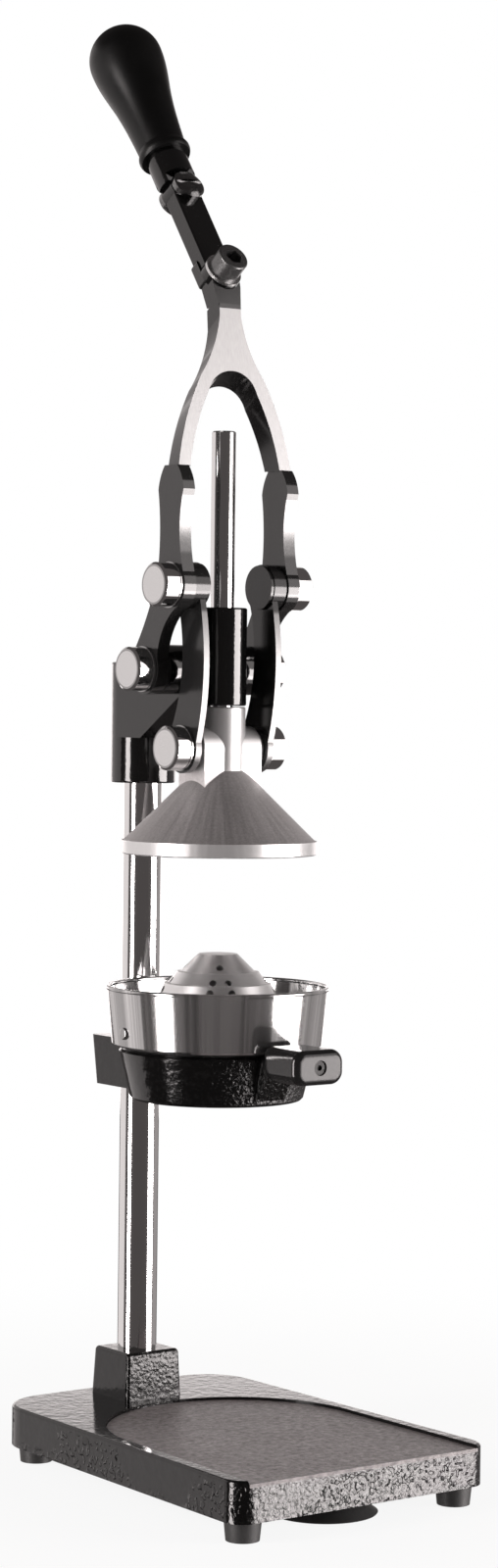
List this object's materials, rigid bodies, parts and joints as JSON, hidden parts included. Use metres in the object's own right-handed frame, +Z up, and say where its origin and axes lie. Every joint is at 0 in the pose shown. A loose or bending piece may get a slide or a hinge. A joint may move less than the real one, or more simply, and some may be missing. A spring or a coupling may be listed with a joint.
{
  "type": "lever citrus juice press",
  "caption": "Upright lever press for citrus, with a sliding bell over a perforated cone, a cup in a ring holder, a round column and a rimmed base with a rubber mat.",
  "frame": {"origin": "on the table, below the axis of the bell and the cup", "axes": "+Z up along the press axis, -Y to the front where the handles are, +X to the right seen from the front"},
  "size_m": [0.1508, 0.2313, 0.7323],
  "materials": {
    "hammered_enamel": "hammered gloss",
    "black_gloss": "smooth gloss",
    "chrome": "polished",
    "zinc_steel": "bright zinc",
    "satin_aluminium": "satin, machined",
    "polished_aluminium": "polished",
    "black_rubber": "matte",
    "mat_rubber": "fine ribbed",
    "black_plastic": "gloss"
  },
  "bodies": {
    "stand": {"base_plate": "hammered_enamel", "base_mat": "mat_rubber", "foot_front_left": "black_rubber", "foot_front_right": "black_rubber", "foot_rear_left": "black_rubber", "foot_rear_right": "black_rubber", "foot_screws": "zinc_steel", "suction_cup": "black_rubber", "column": "chrome", "column_bolt": "zinc_steel", "column_washer": "zinc_steel", "head_bracket": "black_gloss", "head_clamp_screw": "zinc_steel", "head_set_screw": "zinc_steel", "fulcrum_pin_left": "chrome", "fulcrum_pin_right": "chrome"},
    "holder": {"cup_holder": "hammered_enamel", "holder_clamp_screw": "zinc_steel", "front_handle": "black_plastic", "front_handle_screw": "zinc_steel", "juice_cup": "polished_aluminium", "cup_rivets": "polished_aluminium", "strainer_cone": "satin_aluminium"},
    "plunger": {"press_cone": "satin_aluminium", "guide_rod": "chrome", "press_pin_left": "chrome", "press_pin_right": "chrome"},
    "link_left": {"link_left": "black_gloss"},
    "link_right": {"link_right": "black_gloss"},
    "lever": {"lever_fork": "black_gloss", "lever_bar": "black_gloss", "lever_cap_screw": "zinc_steel", "lever_washer": "zinc_steel", "lever_stop_screw": "zinc_steel", "lever_stop_nut": "zinc_steel", "lever_grip": "black_plastic", "crank_pin_left": "chrome", "crank_pin_right": "chrome"}
  },
  "joints": [
    {"name": "lever_swing", "type": "hinge", "parent": "stand", "child": "lever", "pos_m": [0, 0.0168, 0.4016], "axis": [1, 0, 0], "range_deg": [0, 112]},
    {"name": "plunger_slide", "type": "slide", "parent": "stand", "child": "plunger", "axis": [0, 0, -1], "range_m": [0, 0.076]},
    {"name": "link_left_turn", "type": "hinge", "parent": "plunger", "child": "link_left", "pos_m": [0, 0, 0.363], "axis": [1, 0, 0], "range_deg": [0, 6]},
    {"name": "link_right_turn", "type": "hinge", "parent": "plunger", "child": "link_right", "pos_m": [0, 0, 0.363], "axis": [1, 0, 0], "range_deg": [0, 6]},
    {"name": "holder_height", "type": "slide", "parent": "stand", "child": "holder", "axis": [0, 0, -1], "range_m": [0, 0.08]}
  ],
  "couplings": [
    {"joint": "plunger_slide", "follows": "lever_swing", "m_per_rad": 0.038828},
    {"joint": "link_left_turn", "follows": "lever_swing", "ratio": 0.05306},
    {"joint": "link_right_turn", "follows": "lever_swing", "ratio": 0.05306}
  ]
}
